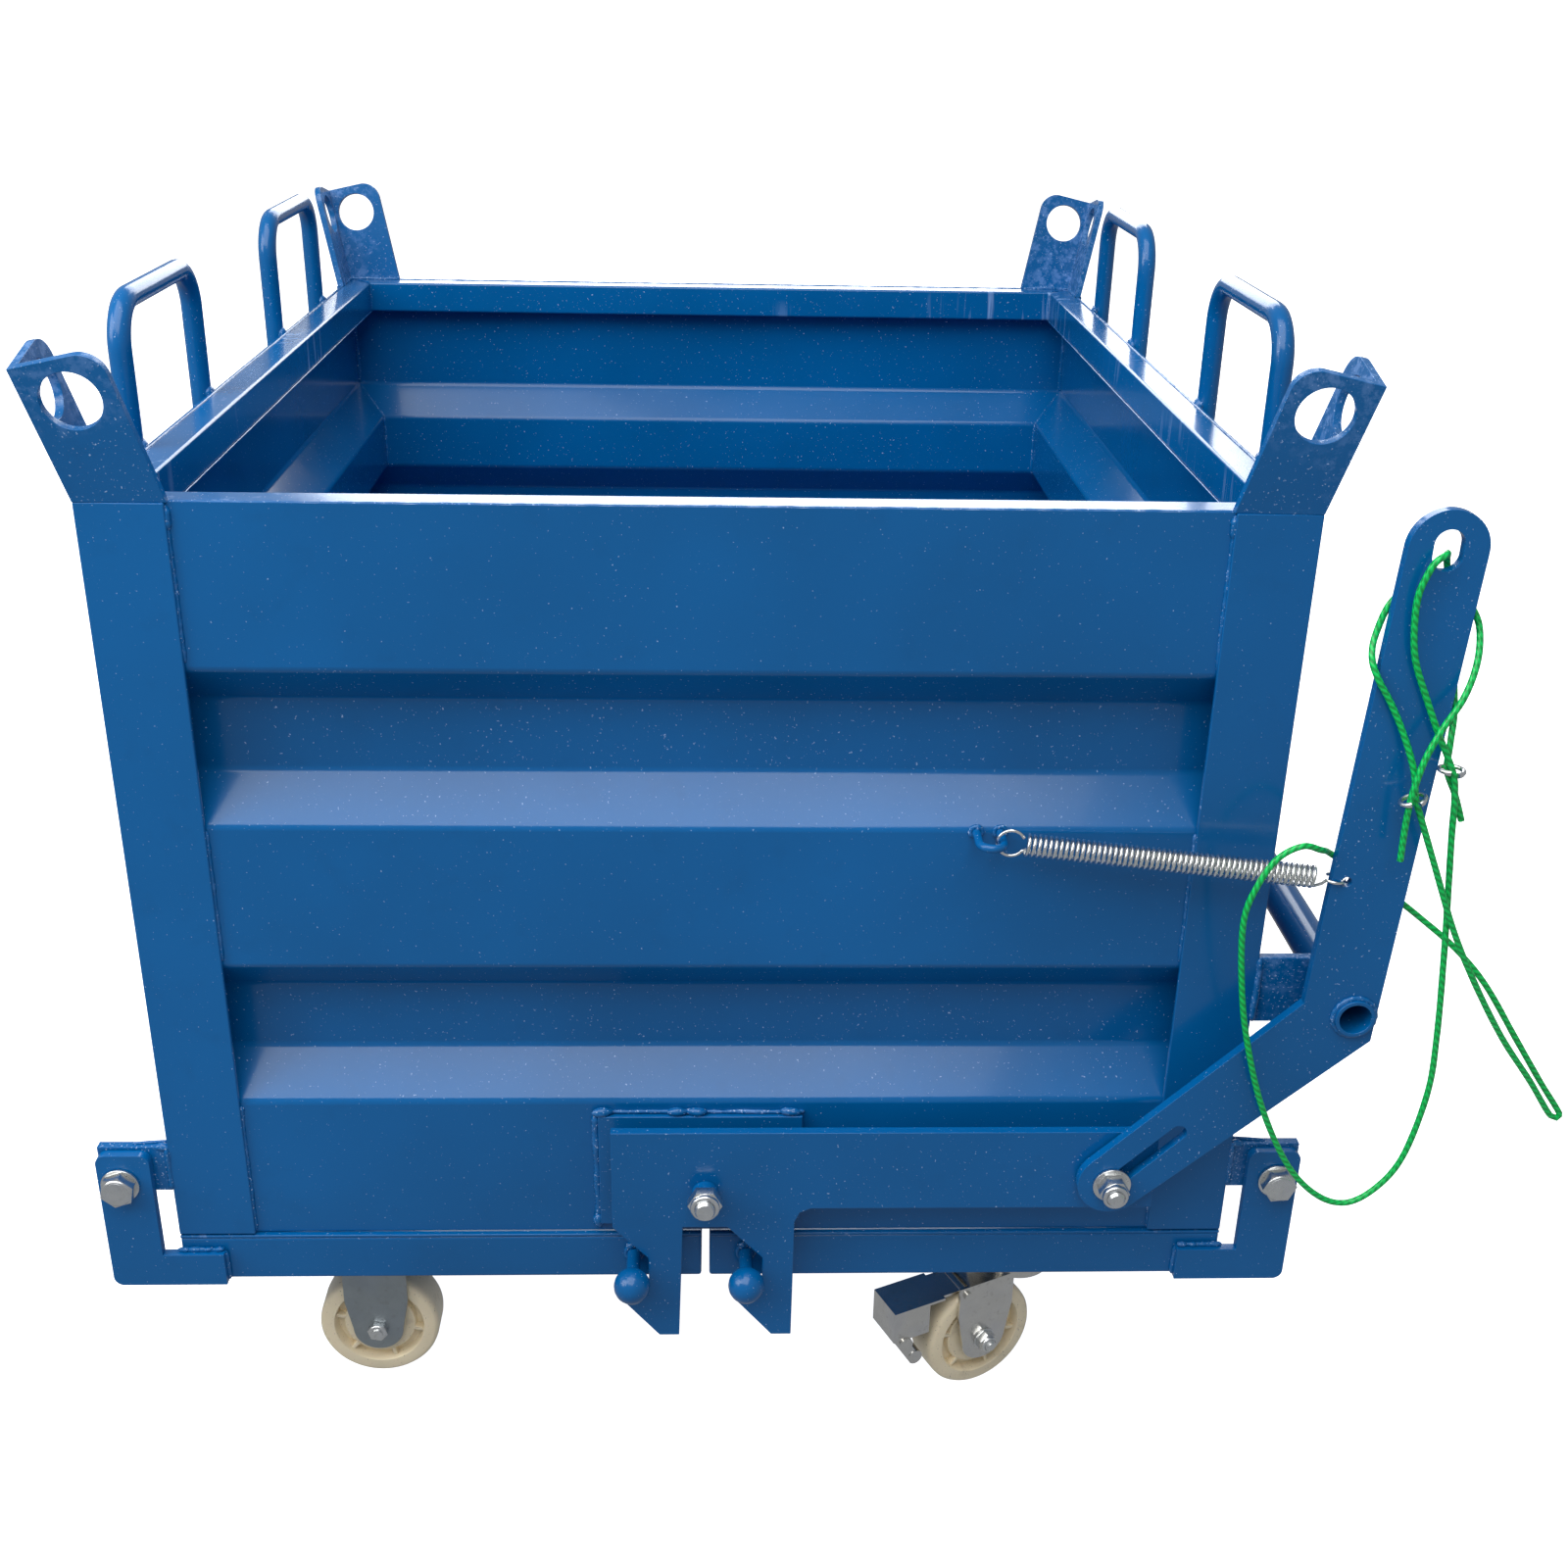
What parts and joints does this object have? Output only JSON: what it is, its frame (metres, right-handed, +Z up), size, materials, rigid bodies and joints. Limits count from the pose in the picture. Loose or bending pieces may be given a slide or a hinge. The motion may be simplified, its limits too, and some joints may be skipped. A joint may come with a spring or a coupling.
{
  "type": "bottom-discharge bin on casters",
  "caption": "Blue open steel bin on casters whose two floor doors drop open when a sprung side lever lifts the hooked latch plates front and rear.",
  "frame": {"origin": "middle of the whole part at floor level (the rope and its clips aren't counted)", "axes": "+X to the right, towards the lever's side; +Y to the back, away from the hand lever; +Z up"},
  "size_m": [1.4117, 1.3629, 1.105],
  "materials": {
    "blue_paint": "gloss",
    "zinc": "zinc plated",
    "nylon": "satin",
    "rope_coating": "gloss"
  },
  "bodies": {
    "bin": {"corner_posts": "blue_paint", "lifting_lugs": "blue_paint", "front_wall": "blue_paint", "rear_wall": "blue_paint", "left_wall": "blue_paint", "right_wall": "blue_paint", "top_rim": "blue_paint", "side_hoops": "blue_paint", "hinge_lugs": "blue_paint", "hinge_bolts": "zinc", "hinge_washers": "zinc", "hinge_nuts": "zinc", "latch_backing_plates": "blue_paint", "latch_pivot_studs": "zinc", "latch_spacers": "zinc", "latch_pivot_nuts": "zinc", "bearing_brackets": "blue_paint", "bearing_sleeves": "blue_paint", "spring_eye": "blue_paint", "return_spring": "zinc"},
    "release_lever": {"lever_plate": "blue_paint", "torque_tube": "blue_paint", "rear_arm": "blue_paint", "pull_rope": "rope_coating", "rope_clips": "zinc"},
    "front_latch": {"front_latch_plate": "blue_paint", "front_link_bolt": "zinc", "front_link_nut": "zinc"},
    "rear_latch": {"rear_latch_plate": "blue_paint", "rear_link_bolt": "zinc", "rear_link_nut": "zinc"},
    "left_door": {"left_door_frame": "blue_paint", "left_door_sheet": "blue_paint", "left_hinge_arms": "blue_paint", "left_latch_pins": "blue_paint", "fixed_caster_forks": "zinc", "fixed_caster_axles": "zinc"},
    "left_front_wheel": {"left_front_wheel": "nylon"},
    "left_rear_wheel": {"left_rear_wheel": "nylon"},
    "right_door": {"right_door_frame": "blue_paint", "right_door_sheet": "blue_paint", "right_hinge_arms": "blue_paint", "right_latch_pins": "blue_paint", "swivel_top_plates": "zinc", "swivel_kingpins": "zinc"},
    "front_swivel": {"front_swivel_fork": "zinc", "front_swivel_axle": "zinc"},
    "rear_swivel": {"rear_swivel_fork": "zinc", "rear_swivel_axle": "zinc"},
    "front_pedal": {"front_brake_pedal": "zinc"},
    "rear_pedal": {"rear_brake_pedal": "zinc"},
    "right_front_wheel": {"right_front_wheel": "nylon"},
    "right_rear_wheel": {"right_rear_wheel": "nylon"}
  },
  "joints": [
    {"name": "lever_turn", "type": "hinge", "parent": "bin", "child": "release_lever", "pos_m": [0.57575, 0, 0.498], "axis": [0, 1, 0], "range_deg": [0, 15], "stiffness_Nm_per_rad": 2, "springref_deg": -5.73, "deforming": ["return_spring"]},
    {"name": "front_latch_turn", "type": "hinge", "parent": "bin", "child": "front_latch", "pos_m": [-0.02925, -0.631, 0.292], "axis": [0, 1, 0], "range_deg": [-12, 0]},
    {"name": "rear_latch_turn", "type": "hinge", "parent": "bin", "child": "rear_latch", "pos_m": [-0.02925, 0.631, 0.292], "axis": [0, 1, 0], "range_deg": [-12, 0]},
    {"name": "left_door_turn", "type": "hinge", "parent": "bin", "child": "left_door", "pos_m": [-0.60025, -0.605, 0.284], "axis": [0, 1, 0], "range_deg": [0, 90]},
    {"name": "right_door_turn", "type": "hinge", "parent": "bin", "child": "right_door", "pos_m": [0.54175, -0.605, 0.284], "axis": [0, 1, 0], "range_deg": [-90, 0]},
    {"name": "left_front_roll", "type": "hinge", "parent": "left_door", "child": "left_front_wheel", "pos_m": [-0.37425, -0.538, 0.0625], "axis": [0, 1, 0], "continuous": true},
    {"name": "left_rear_roll", "type": "hinge", "parent": "left_door", "child": "left_rear_wheel", "pos_m": [-0.37425, 0.538, 0.0625], "axis": [0, 1, 0], "continuous": true},
    {"name": "front_swivel_turn", "type": "hinge", "parent": "right_door", "child": "front_swivel", "pos_m": [0.30075, -0.538, 0.13], "axis": [0, 0, 1], "continuous": true},
    {"name": "rear_swivel_turn", "type": "hinge", "parent": "right_door", "child": "rear_swivel", "pos_m": [0.30075, 0.538, 0.13], "axis": [0, 0, 1], "continuous": true},
    {"name": "right_front_roll", "type": "hinge", "parent": "front_swivel", "child": "right_front_wheel", "pos_m": [0.25362, -0.55998, 0.0625], "axis": [0.4226, -0.9063, 0], "continuous": true},
    {"name": "right_rear_roll", "type": "hinge", "parent": "rear_swivel", "child": "right_rear_wheel", "pos_m": [0.25362, 0.51602, 0.0625], "axis": [0.4226, -0.9063, 0], "continuous": true},
    {"name": "front_pedal_turn", "type": "hinge", "parent": "front_swivel", "child": "front_pedal", "pos_m": [0.23187, -0.57012, 0.127], "axis": [0.4226, -0.9063, 0], "range_deg": [0, 8]},
    {"name": "rear_pedal_turn", "type": "hinge", "parent": "rear_swivel", "child": "rear_pedal", "pos_m": [0.23187, 0.50588, 0.127], "axis": [0.4226, -0.9063, 0], "range_deg": [0, 8]}
  ],
  "couplings": [
    {"joint": "front_latch_turn", "follows": "lever_turn", "ratio": -0.79},
    {"joint": "rear_latch_turn", "follows": "lever_turn", "ratio": -0.79}
  ]
}
